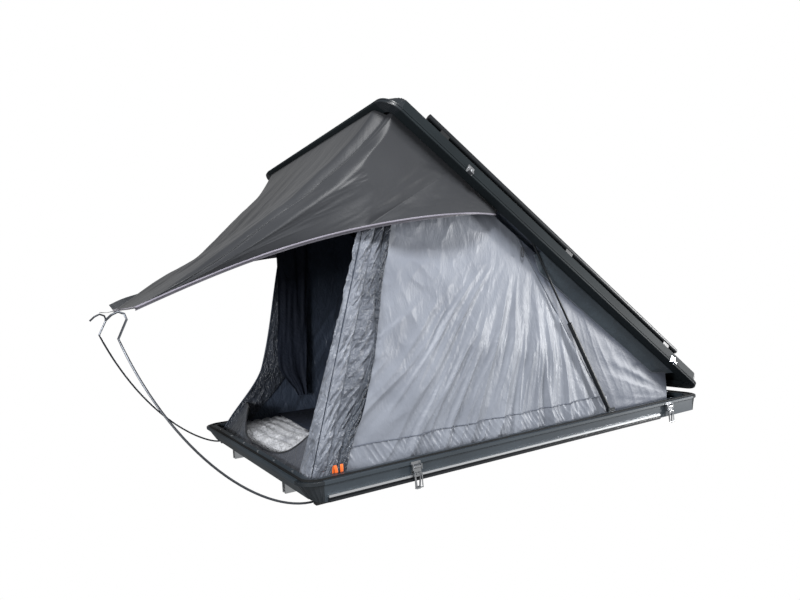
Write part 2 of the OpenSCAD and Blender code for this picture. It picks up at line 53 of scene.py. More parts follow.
# Places from the frame and sizes shared with part.scad, in metres from the middle of the base lip;
# hemX and hemY lie just inside the hem that runs round the lid and the base
sideLow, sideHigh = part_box("base_side_near")
shell = {"x0": (sideLow[0] + sideHigh[0]) / 2, "lipZ": sideHigh[2], "hemX": -1.0065, "hemY": 0.5955}
hinge = {"x": 1.078, "z": 0.022, "open": math.radians(36.2)}
cloth = {
    "y": 0.553,
    "floor": -0.052,
    "headZ": 0.006,
    "footX": -1.002,
    "headX": -0.992,
    "rearFootX": 0.919,
    "rearHeadX": 0.893,
}
sides = {"Near": -1, "Far": 1}
noiseCells = (67, 61)  # cells before the noise repeats


def toRow(p):
    # From the middle of the base lip to the frame of the whole part
    return np.asarray(p, float) + np.array([shell["x0"], 0.0, shell["lipZ"]])


def xyz(x, y, z):
    # Coordinates spread to one shape and joined as points
    return np.stack(np.broadcast_arrays(x, y, z), axis=-1)


def lidPoint(x, y, z):
    # A point of the closed lid turned about the hinge to its open place
    c, s = math.cos(hinge["open"]), math.sin(hinge["open"])
    dx, dz = np.asarray(x, float) - hinge["x"], np.asarray(z, float) - hinge["z"]
    return xyz(hinge["x"] + dx * c + dz * s, y, hinge["z"] - dx * s + dz * c)


def mix(a, b, t):
    # A straight run from a to b
    return np.asarray(a) + (np.asarray(b) - np.asarray(a)) * t


def hump(x, centre, width):
    # A bell curve of height 1
    return np.exp(-(((x - centre) / width) ** 2))


def smooth(x, low, high):
    # A soft step from 0 at low to 1 at high
    t = np.clip((x - low) / (high - low), 0, 1)
    return t * t * (3 - 2 * t)


def softNoise(x, y, seed):
    # Smooth seeded noise on a plane, about -0.7 to 0.7
    angles = np.random.default_rng(seed).random(noiseCells) * 2 * math.pi
    x, y = np.broadcast_arrays(x, y)
    ix, iy = np.floor(x).astype(int), np.floor(y).astype(int)

    def corner(i, j):
        a = angles[(ix + i) % noiseCells[0], (iy + j) % noiseCells[1]]
        return np.cos(a) * (x - ix - i) + np.sin(a) * (y - iy - j)

    fx, fy = smooth(x - ix, 0, 1), smooth(y - iy, 0, 1)
    return mix(mix(corner(0, 0), corner(1, 0), fx), mix(corner(0, 1), corner(1, 1), fx), fy)


def ridge(x, y, seed, width=0.35):
    # Narrow rounded crests where the noise is near 0: 1 on the crest and 0 between
    return np.exp(-((softNoise(x, y, seed) / width) ** 2))


def crease(x, y, seed, width=0.3):
    # Crests with a sharp line on top
    return np.clip(1 - np.abs(softNoise(x, y, seed)) / width, 0, 1) ** 1.4


def facing(p, forward):
    # A grid as it is, or run backwards so that its faces point the other way
    return p if forward else p[::-1]


def linkMesh(name, mesh):
    mesh.polygons.foreach_set("use_smooth", np.ones(len(mesh.polygons), dtype=bool))
    obj = bpy.data.objects.new(name, mesh)
    scene.collection.objects.link(obj)
    return obj


def gridFaces(nu, nv, closeU=False):
    # Four-cornered faces between neighbouring rows and columns of a grid
    rows = np.arange(nu * nv).reshape(nu, nv)
    if closeU:
        rows = np.vstack([rows, rows[:1]])
    return np.stack([rows[:-1, :-1], rows[1:, :-1], rows[1:, 1:], rows[:-1, 1:]], axis=-1).reshape(-1, 4)


def flatSize(points):
    # Widest and tallest run of a grid of points
    width = np.linalg.norm(np.diff(points, axis=0), axis=-1).sum(axis=0).max()
    height = np.linalg.norm(np.diff(points, axis=1), axis=-1).sum(axis=1).max()
    return float(width), float(height)


def gridMesh(name, points, closeU=False):
    # A grid of points as one mesh, with a UV map in metres of cloth
    nu, nv = points.shape[:2]
    mesh = bpy.data.meshes.new(name)
    mesh.from_pydata(toRow(points).reshape(-1, 3).tolist(), [], gridFaces(nu, nv, closeU).tolist())
    width, height = flatSize(points)
    u, v = np.meshgrid(np.linspace(0, width, nu), np.linspace(0, height, nv), indexing="ij")
    grid = np.stack([u, v], axis=-1).reshape(-1, 2)
    loops = np.empty(len(mesh.loops), dtype=np.int32)
    mesh.loops.foreach_get("vertex_index", loops)
    mesh.uv_layers.new(name="flat").data.foreach_set("uv", grid[loops].astype(np.float32).ravel())
    return linkMesh(name, mesh)


def closedMesh(name, upper, lower):
    # Two grids with one rim: merged there, with the faces pointing out
    count = upper.shape[0] * upper.shape[1]
    faces = gridFaces(*upper.shape[:2])
    mesh = bpy.data.meshes.new(name)
    corners = np.concatenate([toRow(upper).reshape(-1, 3), toRow(lower).reshape(-1, 3)])
    mesh.from_pydata(corners.tolist(), [], np.concatenate([faces, faces[:, ::-1] + count]).tolist())
    builder = bmesh.new()
    builder.from_mesh(mesh)
    bmesh.ops.remove_doubles(builder, verts=builder.verts, dist=1e-6)
    bmesh.ops.recalc_face_normals(builder, faces=builder.faces)
    builder.to_mesh(mesh)
    builder.free()
    mesh.uv_layers.new(name="flat")
    return linkMesh(name, mesh)


def tubeMesh(name, path, radius, around=8):
    # A circle carried along a path, square to it
    path = np.asarray(path, float)
    t = np.gradient(path, axis=0)
    t /= np.linalg.norm(t, axis=1, keepdims=True)
    up = np.where(np.abs(t[:, 2:3]) > 0.9, [[0.0, 1.0, 0.0]], [[0.0, 0.0, 1.0]])
    a = np.cross(t, up)
    a /= np.linalg.norm(a, axis=1, keepdims=True)
    b = np.cross(t, a)
    angle = np.linspace(0, 2 * math.pi, around, endpoint=False)[:, None, None]
    ring = path[None] + radius * (np.cos(angle) * a[None] + np.sin(angle) * b[None])
    return gridMesh(name, ring, closeU=True)


def thicken(obj, thickness):
    solid = obj.modifiers.new("thickness", "SOLIDIFY")
    solid.thickness, solid.offset = thickness, 0.0
    return obj


def srgb(code):
    # A hex colour turned to linear values
    c = np.array([int(code[i : i + 2], 16) for i in (1, 3, 5)]) / 255
    c = np.where(c <= 0.04045, c / 12.92, ((c + 0.055) / 1.055) ** 2.4)
    return (*[float(x) for x in c], 1.0)


def addNode(tree, kind, inputs=(), **settings):
    # A node with its settings; an input is linked where it is given a socket
    node = tree.nodes.new(kind)
    for key, value in settings.items():
        setattr(node, key, value)
    for key, value in dict(inputs).items():
        if isinstance(value, bpy.types.NodeSocket):
            tree.links.new(value, node.inputs[key])
        else:
            node.inputs[key].default_value = value
    return node


def newMaterial(name, rough, metal=0.0, sheen=0.0, specular=0.5):
    mat = bpy.data.materials.new(name)
    mat.use_nodes = True
    tree = mat.node_tree
    shader = tree.nodes["Principled BSDF"]
    shader.inputs["Roughness"].default_value = rough
    shader.inputs["Metallic"].default_value = metal
    shader.inputs["Sheen Weight"].default_value = sheen
    shader.inputs["Specular IOR Level"].default_value = specular
    return mat, tree, shader


def mottle(tree, coords, low, high, scale):
    # Two colours mixed by noise
    noise = addNode(tree, "ShaderNodeTexNoise", {"Vector": coords, "Scale": scale, "Detail": 4.0})
    ramp = addNode(tree, "ShaderNodeValToRGB", {"Fac": noise.outputs["Fac"]})
    ends = ramp.color_ramp.elements
    ends[0].position, ends[1].position = 0.3, 0.7
    ends[0].color, ends[1].color = srgb(low), srgb(high)
    return ramp.outputs["Color"]


hard = {"patches": 3.0, "reliefDepth": 0.001, "glossSpread": 0.07}  # patches of tone in a metre


def hardMaterial(name, low, high, rough, metal, grain, bump, specular=0.5):
    # Two close tones in wide patches, a fine grain in relief and gloss; grain is 1000 over its millimetres
    mat, tree, shader = newMaterial(name, rough, metal, 0.0, specular)
    coords = addNode(tree, "ShaderNodeTexCoord").outputs["Object"]
    colour = mottle(tree, coords, low, high, hard["patches"])
    speckle = {"Vector": coords, "Scale": grain, "Detail": 2.0}
    fine = addNode(tree, "ShaderNodeTexNoise", speckle).outputs["Fac"]
    height = {"Height": fine, "Strength": bump, "Distance": hard["reliefDepth"]}
    relief = addNode(tree, "ShaderNodeBump", height)
    gloss = {"Value": fine, "To Min": rough - hard["glossSpread"], "To Max": rough + hard["glossSpread"]}
    vary = addNode(tree, "ShaderNodeMapRange", gloss)
    tree.links.new(colour, shader.inputs["Base Color"])
    tree.links.new(vary.outputs["Result"], shader.inputs["Roughness"])
    tree.links.new(relief.outputs["Normal"], shader.inputs["Normal"])
    return mat


def trackMaterial(name, edgeZ, bright, dark, rough):
    # Bare metal above a height and black below it
    mat, tree, shader = newMaterial(name, rough)
    coords = addNode(tree, "ShaderNodeTexCoord").outputs["Object"]
    height = addNode(tree, "ShaderNodeSeparateXYZ", {"Vector": coords}).outputs["Z"]
    above = addNode(tree, "ShaderNodeMath", {0: height, 1: edgeZ}, operation="GREATER_THAN").outputs["Value"]
    ramp = addNode(tree, "ShaderNodeValToRGB", {"Fac": above})
    ramp.color_ramp.elements[0].color, ramp.color_ramp.elements[1].color = srgb(dark), srgb(bright)
    tree.links.new(ramp.outputs["Color"], shader.inputs["Base Color"])
    tree.links.new(above, shader.inputs["Metallic"])
    return mat


# Threads are drawn about 4 mm apart, far coarser than real ones, so that they show
weave = {"scale": 80.0, "strength": 0.12, "depth": 0.0003}
loose = {"specular": 0.4, "creaseDepth": 0.02, "crinkleDepth": 0.006, "patchesPerCrease": 0.3}


def clothMaterial(name, low, high, rough, sheen, crease, creaseMm, crinkle, crinkleMm, stretch=(1, 1, 1)):
    # Woven cloth: crossed threads, loose creases, fine crinkles and uneven colour
    mat, tree, shader = newMaterial(name, rough, 0.0, sheen, loose["specular"])
    coords = addNode(tree, "ShaderNodeTexCoord")
    place, flat = coords.outputs["Object"], coords.outputs["UV"]
    colour = mottle(tree, place, low, high, loose["patchesPerCrease"] * 1000.0 / creaseMm)
    thread = {"Vector": flat, "Scale": weave["scale"]}
    warp = addNode(tree, "ShaderNodeTexWave", thread, bands_direction="X").outputs["Fac"]
    weft = addNode(tree, "ShaderNodeTexWave", thread, bands_direction="Y").outputs["Fac"]
    threads = addNode(tree, "ShaderNodeMath", {0: warp, 1: weft}, operation="MULTIPLY").outputs["Value"]
    squeeze = addNode(tree, "ShaderNodeMapping", {"Vector": place, "Scale": stretch}).outputs["Vector"]
    large = {"Vector": squeeze, "Scale": 1000.0 / creaseMm, "Detail": 3.0, "Distortion": 0.8}
    small = {"Vector": squeeze, "Scale": 1000.0 / crinkleMm, "Detail": 2.0, "Distortion": 1.6}
    creases = addNode(tree, "ShaderNodeTexNoise", large).outputs["Fac"]
    crinkles = addNode(tree, "ShaderNodeTexNoise", small).outputs["Fac"]
    layers = [(creases, crease, loose["creaseDepth"]), (crinkles, crinkle, loose["crinkleDepth"])]
    layers.append((threads, weave["strength"], weave["depth"]))
    normal = None
    for height, strength, depth in layers:
        relief = {"Height": height, "Strength": strength, "Distance": depth}
        if normal:
            relief["Normal"] = normal
        normal = addNode(tree, "ShaderNodeBump", relief).outputs["Normal"]
    tree.links.new(colour, shader.inputs["Base Color"])
    tree.links.new(normal, shader.inputs["Normal"])
    return mat


# Hard finishes: name, two tones, roughness, metal, grain, relief and, where it isn't usual, specular
hardLooks = {
    # Powder coat on aluminium: satin, with broad soft highlights; the lid's is flatter and darker
    "shell": ("shellPaint", "#2a3137", "#323a41", 0.4, 0.0, 1400.0, 0.04),
    "lid": ("lidPaint", "#171c1f", "#1e2427", 0.6, 0.0, 1400.0, 0.01, 0.12),
    # Painted castings: darker than the extrusions, with tighter highlights
    "casting": ("cornerPaint", "#171b1f", "#1f252a", 0.27, 0.0, 900.0, 0.04, 0.6),
    # Moulded nylon and anodised tube: black, the tube smoother
    "black": ("blackPlastic", "#101214", "#17191c", 0.45, 0.0, 700.0, 0.05),
    "tube": ("blackTube", "#131619", "#1a1e22", 0.42, 0.0, 1200.0, 0.01, 0.35),
    # Extruded aluminium and pressed steel: pale, with blurred reflections
    "aluminium": ("bareAluminium", "#b4b7ba", "#c8cacc", 0.33, 0.9, 600.0, 0.05),
    "steel": ("latchSteel", "#a6a9ac", "#c8cacd", 0.26, 1.0, 500.0, 0.03),
    # Drawn spring steel: dark grey with a narrow glint
    "darkSteel": ("springSteel", "#3b3e43", "#4a4e54", 0.3, 0.7, 500.0, 0.03),
    # Rubber seal and composite board: dull, with hardly a highlight
    "rubber": ("sealRubber", "#0d0e0f", "#141516", 0.7, 0.0, 500.0, 0.15, 0.3),
    "board": ("floorBoard", "#33363a", "#3d4145", 0.6, 0.0, 300.0, 0.1, 0.4),
}
# Woven cloths: name, two tones, roughness, sheen, strength and millimetres of the creases,
# the same of the crinkles, and the stretch of both
clothLooks = {
    # Coated polycotton of the walls: grey and satin, creased along its height; the rear panels are darker
    "wall": ("wallCloth", "#6d727c", "#7e838d", 0.46, 0.1, 0.3, 60.0, 0.25, 13.0, (1, 1, 0.4)),
    "rear": ("rearCloth", "#4c525e", "#585e6b", 0.5, 0.1, 0.15, 90.0, 0.1, 20.0),
    "gusset": ("gussetCloth", "#2f3840", "#3a444c", 0.5, 0.1, 0.4, 60.0, 0.3, 14.0),
    # Narrow strips at the door: crumpled, with sharp small highlights
    "door": ("doorCloth", "#595e68", "#787d87", 0.3, 0.1, 0.7, 36.0, 0.5, 11.0, (1, 1, 0.8)),
    "zip": ("zipCloth", "#454a53", "#646973", 0.3, 0.1, 0.8, 34.0, 0.5, 11.0),
    "flap": ("flapCloth", "#2f343c", "#454b55", 0.3, 0.1, 0.9, 30.0, 0.7, 10.0),
    "rim": ("rimCloth", "#2b3039", "#474d58", 0.3, 0.1, 0.9, 34.0, 0.8, 10.0, (1, 1, 0.45)),
    "seam": ("seamCloth", "#50555e", "#60656f", 0.45, 0.1, 0.3, 30.0, 0.3, 8.0),
    "sill": ("sillCloth", "#393c44", "#444851", 0.45, 0.1, 0.5, 50.0, 0.4, 14.0),
    # Coated polyester of the awning: near black and almost smooth, with a paler edge
    "awning": ("awningCloth", "#222428", "#2d2f33", 0.52, 0.1, 0.16, 120.0, 0.1, 20.0, (0.6, 1.2, 0.6)),
    # The shade cloth is a darker copy of the awning cloth for its underside: painted shade
    "shade": ("shadeCloth", "#1d2023", "#26292d", 0.5, 0.1, 0.2, 80.0, 0.2, 16.0),
    "piping": ("pipingCloth", "#6d6a75", "#807d88", 0.5, 0.15, 0.1, 40.0, 0.1, 8.0),
    "hem": ("hemCloth", "#403f46", "#4c4b52", 0.5, 0.15, 0.2, 40.0, 0.2, 10.0),
    # Dark trim for the straps, the sill edge and the zip pulls; the same cloth makes the painted shade strip
    # inside the awning's far edge
    "band": ("bandCloth", "#1f2226", "#292c31", 0.6, 0.1, 0.2, 30.0, 0.2, 8.0),
    # Lining and bed cover: blue-grey and dark blue, the cover dull
    "liner": ("linerCloth", "#333c4b", "#414b5c", 0.42, 0.15, 0.6, 60.0, 0.4, 16.0, (1, 1, 0.5)),
    "cover": ("coverCloth", "#131a28", "#1b2333", 0.8, 0.0, 0.4, 60.0, 0.3, 16.0),
    # Quilted knit of the mattress: pale, soft and puckered
    "bed": ("bedCloth", "#9c9fa7", "#dcdee3", 0.7, 0.2, 1.0, 24.0, 1.0, 8.0, (1.5, 0.8, 1)),
    # Nylon ribbon of the tags: bright orange
    "tag": ("tagCloth", "#d9580c", "#f06f16", 0.5, 0.3, 0.1, 30.0, 0.1, 8.0),
}
mats = {look: hardMaterial(*spec) for look, spec in hardLooks.items()}
mats.update({look: clothMaterial(*spec) for look, spec in clothLooks.items()})
# Accessory track: its upper flange is bare and bright, the rest anodised black
mats["track"] = trackMaterial("trackFinish", 0.0605, "#eceff2", "#14171b", 0.32)
cadLooks = {
    "shell": ["base_side_near", "base_side_far", "base_end_front", "base_end_rear"],
    "lid": ["lid_side_near", "lid_side_far", "lid_end_front", "lid_end_rear", "lid_panel"],
    "casting": ["base_corners", "lid_corners", "strut_base_brackets"]
    + [f"hinge_{k}_leaves" for k in ("base", "lid")],
    "black": ["rod_sockets", "load_caps", "load_feet", "strut_lid_brackets"],
    "tube": [f"{k}_{s}" for k in ("load_rail", "strut_tube", "strut_rod") for s in ("near", "far")],
    "aluminium": ["rail_near", "rail_far", "gutter_screws", "keeper_screws"],
    "track": ["track_near", "track_far"],
    "steel": ["latch_plates", "keepers", "hinge_pins"]
    + [f"{k}_{s}_{e}" for k in ("lever", "bail") for s in ("near", "far") for e in ("front", "rear")],
    "darkSteel": ["rod_near", "rod_far"],
    "rubber": ["lip_seal", "rail_shims"],
    "board": ["floor_panel"],
    "liner": ["headliner"],
}
for look, names in cadLooks.items():
    for name in names:
        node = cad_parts[name]
        node.data.materials.clear()
        node.data.materials.append(mats[look])
print("stage: materials on CAD nodes")


def finishPiece(obj, body, look, replaced=()):
    obj.data.materials.append(mats[look])
    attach(obj, body)
    if replaced:
        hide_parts(*replaced)
    return obj


def foldDown(obj):
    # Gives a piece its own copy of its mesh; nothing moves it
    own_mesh(obj)


def foldBed(obj):
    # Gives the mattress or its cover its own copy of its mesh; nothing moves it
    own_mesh(obj)


def foldAwning(obj):
    # Works out a point at the lid's front, which is not used, and gives the piece its own copy of its mesh
    anchor = tuple(toRow(lidPoint(-1.0, 0, 0.034)))
    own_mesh(obj)


def foldAwningSide(obj):
    # Works out a point along the lid, which is not used, and gives the flank its own copy of its mesh
    anchor = tuple(toRow(lidPoint(-0.7, 0, 0.03)))
    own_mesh(obj)


def foldGusset(obj):
    # Works out a point along the lid, which is not used, and gives the strip its own copy of its mesh
    anchor = tuple(toRow(lidPoint(-0.7, 0, 0.04)))
    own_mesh(obj)


def sheetPiece(name, points, body, look, fold=None, replaced=()):
    # A sheet with its flat size worked out from its grid
    obj = finishPiece(gridMesh(name, points), body, look, replaced)
    if fold:
        fold(obj)
    return obj


def seamPiece(name, path, radius, body, look, fold):
    # A seam, edge or line of piping as a thin tube sewn to the cloth
    obj = finishPiece(tubeMesh(name, path, radius), body, look)
    fold(obj)
    return obj


# Mattress: one closed cover with a crown, drawn-in sides and channels sewn across it
bed = {
    "x": (-0.952, 0.893),
    "y": 0.536,
    "low": -0.053,
    "waist": 0.03,
    "height": 0.056,
    "crown": 0.017,
    "channel": 0.05,
}
cover = {"x": (-0.757, 0.88), "slant": 0.05, "y": 0.53, "z": 0.0215, "gap": 0.003, "ripple": 0.004}


def bedCrown(x, v):
    # Rounded ribs between the channels, lower at the sides, with puckers beside the stitching
    channel = np.abs(np.sin(math.pi * (x + 0.006 * np.sin(v * 9)) / bed["channel"])) ** 0.6
    pucker = 0.006 * softNoise(x * 34, v * 22, 21) * (1.3 - channel) + 0.003 * softNoise(x * 70, v * 44, 22)
    return bed["crown"] * (0.1 + 0.9 * channel) * (1 - 0.25 * v**2) + pucker


u = np.linspace(0, 1, 331)[:, None]
v = np.linspace(-1, 1, 161)[None, :]
x = mix(bed["x"][0], bed["x"][1], u)
edge = np.sqrt(np.clip(np.minimum(1 - np.abs(2 * u - 1) ** 40, 1 - np.abs(v) ** 24), 0, 1))
top = bed["low"] + bed["waist"] + edge * (bed["height"] - bed["waist"] + bedCrown(x, v))
under = bed["low"] + bed["waist"] * (1 - edge)
bedY = bed["y"] * v * (1 - 0.008 * np.sin(math.pi * x / bed["channel"]) ** 2 * np.abs(v) ** 8)
bedPad = closedMesh("bedPad", xyz(x, bedY, top), xyz(x, bedY, under))
bedPiece = finishPiece(bedPad, "base", "bed", ("mattress",))
foldBed(bedPiece)
# The cover lies on the crown and starts behind the door, along a slanted edge
s = np.linspace(-1, 1, 121)[:, None]
t = np.linspace(0, 1, 181)[None, :]
coverX = mix(cover["x"][0] + cover["slant"] * s, cover["x"][1], t)
under = bed["low"] + bed["height"] + bedCrown(coverX, cover["y"] * s / bed["y"])
coverZ = np.maximum(cover["z"] + cover["ripple"] * softNoise(coverX * 9, s * 5, 24), under + cover["gap"])
p = xyz(coverX, cover["y"] * s, coverZ - 0.004 * np.abs(s) ** 8)
sheetPiece("bedCover", p, "base", "cover", foldBed)
print("stage: mattress and cover")

# Side walls: panels between lines that run up from the floor to the lid; x and z of the strut head and
# of the point that the long folds fall from
wall = {
    "focus": (0.016, 0.748),
    "foldTop": (0.14, 1.02),
    "bow": 0.137,
    "strutFootX": 0.514,
    "strutHeadX": -0.254,
    "seamLift": 0.0025,
    "liningLift": -0.008,
}


def upLine(footX, headX, t):
    # A straight line from the floor to the open lid
    foot = np.array([footX, 0.0, cloth["floor"]])
    return mix(foot, lidPoint(headX, 0.0, cloth["headZ"]), t[:, None])


def frontLine(offset, t, sign, bend=(0.0, 0.0, 1.0)):
    # A line behind the front edge; the far edge bows back along the door
    p = upLine(cloth["footX"] + offset, cloth["headX"] + 1.01 * offset, t)
    z = p[:, 2]
    p[:, 0] += bend[0] * hump(z, bend[1], bend[2])
    if sign > 0:
        bow = wall["bow"] * smooth(z, -0.07, 0.27) * (1 - 0.3 * smooth(z, 0.3, 0.9))
        p[:, 0] += bow * (1 - smooth(z, 0.86, 1.26))
    return p


def wallLines(sign, t):
    # The lines that the panels are cut along, from the front to the rear
    return {
        "edge": frontLine(0.0, t, sign),
        "seam": frontLine(0.048, t, sign),
        "flapFront": frontLine(0.085, t, sign, (0.053, 0.38, 0.2)),
        "flapBack": frontLine(0.112, t, sign, (0.036, 0.3, 0.3)),
        "strut": upLine(wall["strutFootX"], wall["strutHeadX"], t),
        "rear": upLine(cloth["rearFootX"], cloth["rearHeadX"], t),
    }


def wallFolds(x, z):
    # Outward push of the cloth: long folds fall from above, the upper front corner is loosely crumpled
    dx, dz = x - wall["focus"][0], z - wall["focus"][1]
    reach = np.hypot(dx, dz)
    steep = smooth(np.degrees(np.arctan2(-dz, -dx)), 12, 45)
    angle = np.degrees(np.arctan2(wall["foldTop"][1] - z, wall["foldTop"][0] - x))
    angle = angle + 5 * softNoise(x * 2.2, z * 2.2, 3)
    broad = 0.011 * softNoise(angle / 7, reach * 1.2, 1) * smooth(reach, 0.05, 0.3)
    middle = 0.017 * crease(angle / 6, reach * 1.3, 2, 0.4) * smooth(reach, 0.08, 0.35)
    lower = 0.009 * crease(angle / 3.1, reach * 2.2, 4, 0.35) * smooth(reach, 0.25, 0.55)
    fine = 0.0013 * softNoise(angle / 0.9, reach * 3, 6) * smooth(reach, 0.2, 0.5)
    crumple = 0.009 * crease(x * 4.5 - z * 2.5, z * 3 + x * 2, 9, 0.4)
    crumple = crumple + 0.004 * crease(x * 11 + z * 4, z * 9 - x * 5, 8, 0.35)
    slack = 0.004 * softNoise(x * 6 + z * 3, z * 5, 5) * smooth(reach, 0.05, 0.3)
    folds = steep * (broad + middle + lower + fine)
    return folds + (1 - 0.8 * steep) * crumple * smooth(reach, 0.1, 0.3) + slack


def wallHeight(x):
    # Lid underside above a place on the floor
    start = lidPoint(hinge["x"], 0.0, cloth["headZ"])
    return start[2] - math.tan(hinge["open"]) * (x - start[0])


def wallGrid(sign, first, last, nu, nv, lift=0.0, extra=None, folds=1.0):
    # A panel between two lines, pushed out by its folds, which fade at the floor, the lid and the strut
    t = np.linspace(0, 1, nv)
    lines = wallLines(sign, t)
    s = np.linspace(0, 1, nu)[:, None]
    p = mix(lines[first][None], lines[last][None], s[..., None])
    ends = smooth(t, 0, 0.06) * smooth(1 - t, 0, 0.05)
    out = folds * wallFolds(p[..., 0], p[..., 2]) * ends
    if last == "strut":
        out = out * (1 - 0.75 * smooth(s, 0.8, 0.95))
    if extra is not None:
        out = out + extra(p[..., 0], p[..., 2], s) * ends
    p[..., 1] = sign * (cloth["y"] + lift + out)
    return p


def stripCrumple(x, z, s):
    # Short drag lines that slant across a narrow strip
    window = np.sqrt(np.sin(math.pi * s).clip(0, 1))
    wrinkle = 0.010 * crease(z * 17 - 1.7 * s, z * 4 + s, 7, 0.4)
    wrinkle = wrinkle + 0.005 * crease(z * 37 - 2.4 * s, z * 9 + s, 8, 0.35)
    return window * (0.003 + wrinkle + 0.007 * softNoise(x * 9, z * 9, 10))


def rearFolds(x, z, s):
    # A few long soft folds that run to the rear corner
    angle = np.degrees(np.arctan2(z + 0.02, 1.0 - x))
    return 0.004 * ridge(angle / 9, x * 1.5, 9) * smooth(1.0 - x, 0.05, 0.3) * np.sin(math.pi * s)


# First and last line, grid, lift, own folds, share of the long folds, look
wallPanels = {
    "wallColumn": ("edge", "seam", 31, 261, 0.001, stripCrumple, 0.0, "door"),
    "wallZipBand": ("seam", "flapFront", 31, 261, 0.001, stripCrumple, 0.0, "zip"),
    "wallFlap": ("flapFront", "flapBack", 25, 261, 0.002, stripCrumple, 0.3, "flap"),
    "wallMain": ("flapBack", "strut", 330, 240, 0.0, None, 1.0, "wall"),
    "wallRear": ("strut", "rear", 121, 181, 0.001, rearFolds, 0.12, "rear"),
}
wallSeams = {"seamFront": ("seam", 0.0022), "seamFlap": ("flapFront", 0.002), "seamStrut": ("strut", 0.0026)}


def sidePanels(label, sign):
    for name, (first, last, nu, nv, lift, extra, folds, look) in wallPanels.items():
        p = facing(wallGrid(sign, first, last, nu, nv, lift, extra, folds), sign > 0)
        replaced = (f"wall_{label.lower()}",) if name == "wallMain" else ()
        sheetPiece(name + label, p, "base", look, foldDown, replaced=replaced)
    p = facing(wallGrid(sign, "edge", "rear", 181, 121, wall["liningLift"], None, 0.45), sign < 0)
    sheetPiece("lining" + label, p, "base", "liner", foldDown)
    t = np.linspace(0.01, 0.99, 161)
    for name, (line, radius) in wallSeams.items():
        path = wallLines(sign, t)[line]
        path[:, 1] = sign * (cloth["y"] + wall["seamLift"])
        seamPiece(name + label, path, radius, "base", "seam", foldDown)


wallHem = {"x": (-0.86, 0.478), "z": (-0.03, 0.066), "lift": 0.003, "seam": 0.0018}


def footHem(label, sign):
    # A gathered strip sewn over the foot of the wall, which follows the wall's folds
    x = np.linspace(*wallHem["x"], 401)[:, None]
    z = mix(*wallHem["z"], np.linspace(0, 1, 31)[None, :]) + 0.002 * np.sin(x * 23)
    gather = 0.003 * crease(x * 42 + z * 25, z * 5, 11) + 0.002 * softNoise(x * 14 + z * 30, z * 12, 12)
    t = (z - cloth["floor"]) / (wallHeight(x) - cloth["floor"])
    out = wallFolds(x, z) * smooth(t, 0, 0.06) * (1 - 0.75 * smooth(x, 0.2, 0.44))
    out = out + wallHem["lift"] + gather * smooth(z, -0.03, -0.01)
    p = xyz(x, sign * (cloth["y"] + out), z)
    sheetPiece("wallHem" + label, facing(p, sign > 0), "base", "wall", foldDown)
    path = p[:, -1] + np.array([0.0, sign * 0.0015, 0.0])
    seamPiece("hemSeam" + label, path, wallHem["seam"], "base", "rear", foldDown)


gusset = {"frontX": -0.135, "hang": 0.05, "least": 0.006, "topY": 0.5975, "topZ": 0.004, "seam": 0.0022}


def lidGusset(label, sign):
    # A dark strip that hangs from the lid's hem to the rear panel
    x = np.linspace(gusset["frontX"], cloth["rearHeadX"], 141)[:, None]
    s = np.linspace(0, 1, 25)[None, :]
    hang = gusset["hang"] * smooth(0.9 - x, 0, 0.12) * smooth(x, -0.15, -0.06) + gusset["least"]
    drop = gusset["topZ"] - hang * s + 0.004 * softNoise(x * 12, s * 2, 13) * np.sin(math.pi * s)
    p = lidPoint(x + 0 * s, sign * mix(gusset["topY"], cloth["y"] + 0.005, s**1.3), drop)
    sheetPiece("gusset" + label, facing(p, sign < 0), "lid", "gusset", foldGusset)
    seamPiece("gussetSeam" + label, p[:, -1], gusset["seam"], "lid", "seam", foldGusset)


gutter = {"frontX": -1.0, "tuck": 0.004, "z": -0.022, "rise": 0.003, "endZ": -0.02, "endHalfY": 0.59}


def sideGutter(label, sign):
    # A strip between the wall foot and the base hem
    x = np.linspace(gutter["frontX"], cloth["rearFootX"], 121)[:, None]
    s = np.linspace(0, 1, 25)[None, :]
    p = xyz(x, sign * mix(cloth["y"] - gutter["tuck"], shell["hemY"], s), gutter["z"] + gutter["rise"] * s)
    sheetPiece("gutter" + label, facing(p, sign > 0), "base", "sill")


for label, sign in sides.items():
    sidePanels(label, sign)
    footHem(label, sign)
    lidGusset(label, sign)
    sideGutter(label, sign)
print("stage: side walls")

# Door: a tapered column on the near side, a crumpled rim on the far side
door = {"innerY": 0.467, "taper": 0.105, "lift": 0.004, "edgeNear": 0.005, "edgeFar": 0.004}
rimSpec = {"front": 0.002, "back": 0.105, "bend": (0.05, 0.3, 0.3), "inset": 0.014}


def doorX(z):
    # The slope of the door from the floor to the lid
    head = lidPoint(cloth["headX"], 0.0, cloth["headZ"])
    return mix(cloth["footX"], head[0], (z - cloth["floor"]) / (head[2] - cloth["floor"]))


t = np.linspace(0, 1, 261)[None, :]
s = np.linspace(0, 1, 41)[:, None]
z = mix(cloth["floor"], lidPoint(cloth["headX"], 0.0, cloth["headZ"])[2], t) + 0 * s
inner = np.minimum(door["innerY"] + door["taper"] * z, cloth["y"] - 0.006)
out = stripCrumple(s * 0.09, z, s) + door["lift"]
p = xyz(doorX(z) - out, -mix(inner, cloth["y"] + 0.001, s), z)
floor, replaced = ["floor_panel"], ("wall_front",)
sheetPiece("doorColumnNear", p[::-1], "base", "door", foldDown, replaced=replaced)
seamPiece("doorEdgeNear", p[0, 4:-4], door["edgeNear"], "base", "door", foldDown)
t = np.linspace(0, 1, 261)
rimFront, rimBack = frontLine(rimSpec["front"], t, 1), frontLine(rimSpec["back"], t, 1, rimSpec["bend"])
p = mix(rimFront[None], rimBack[None], s[..., None])
pleat = 0.006 * ridge(s * 3.2 + 0.3 * softNoise(p[..., 2] * 3, s, 17), p[..., 2] * 4, 18)
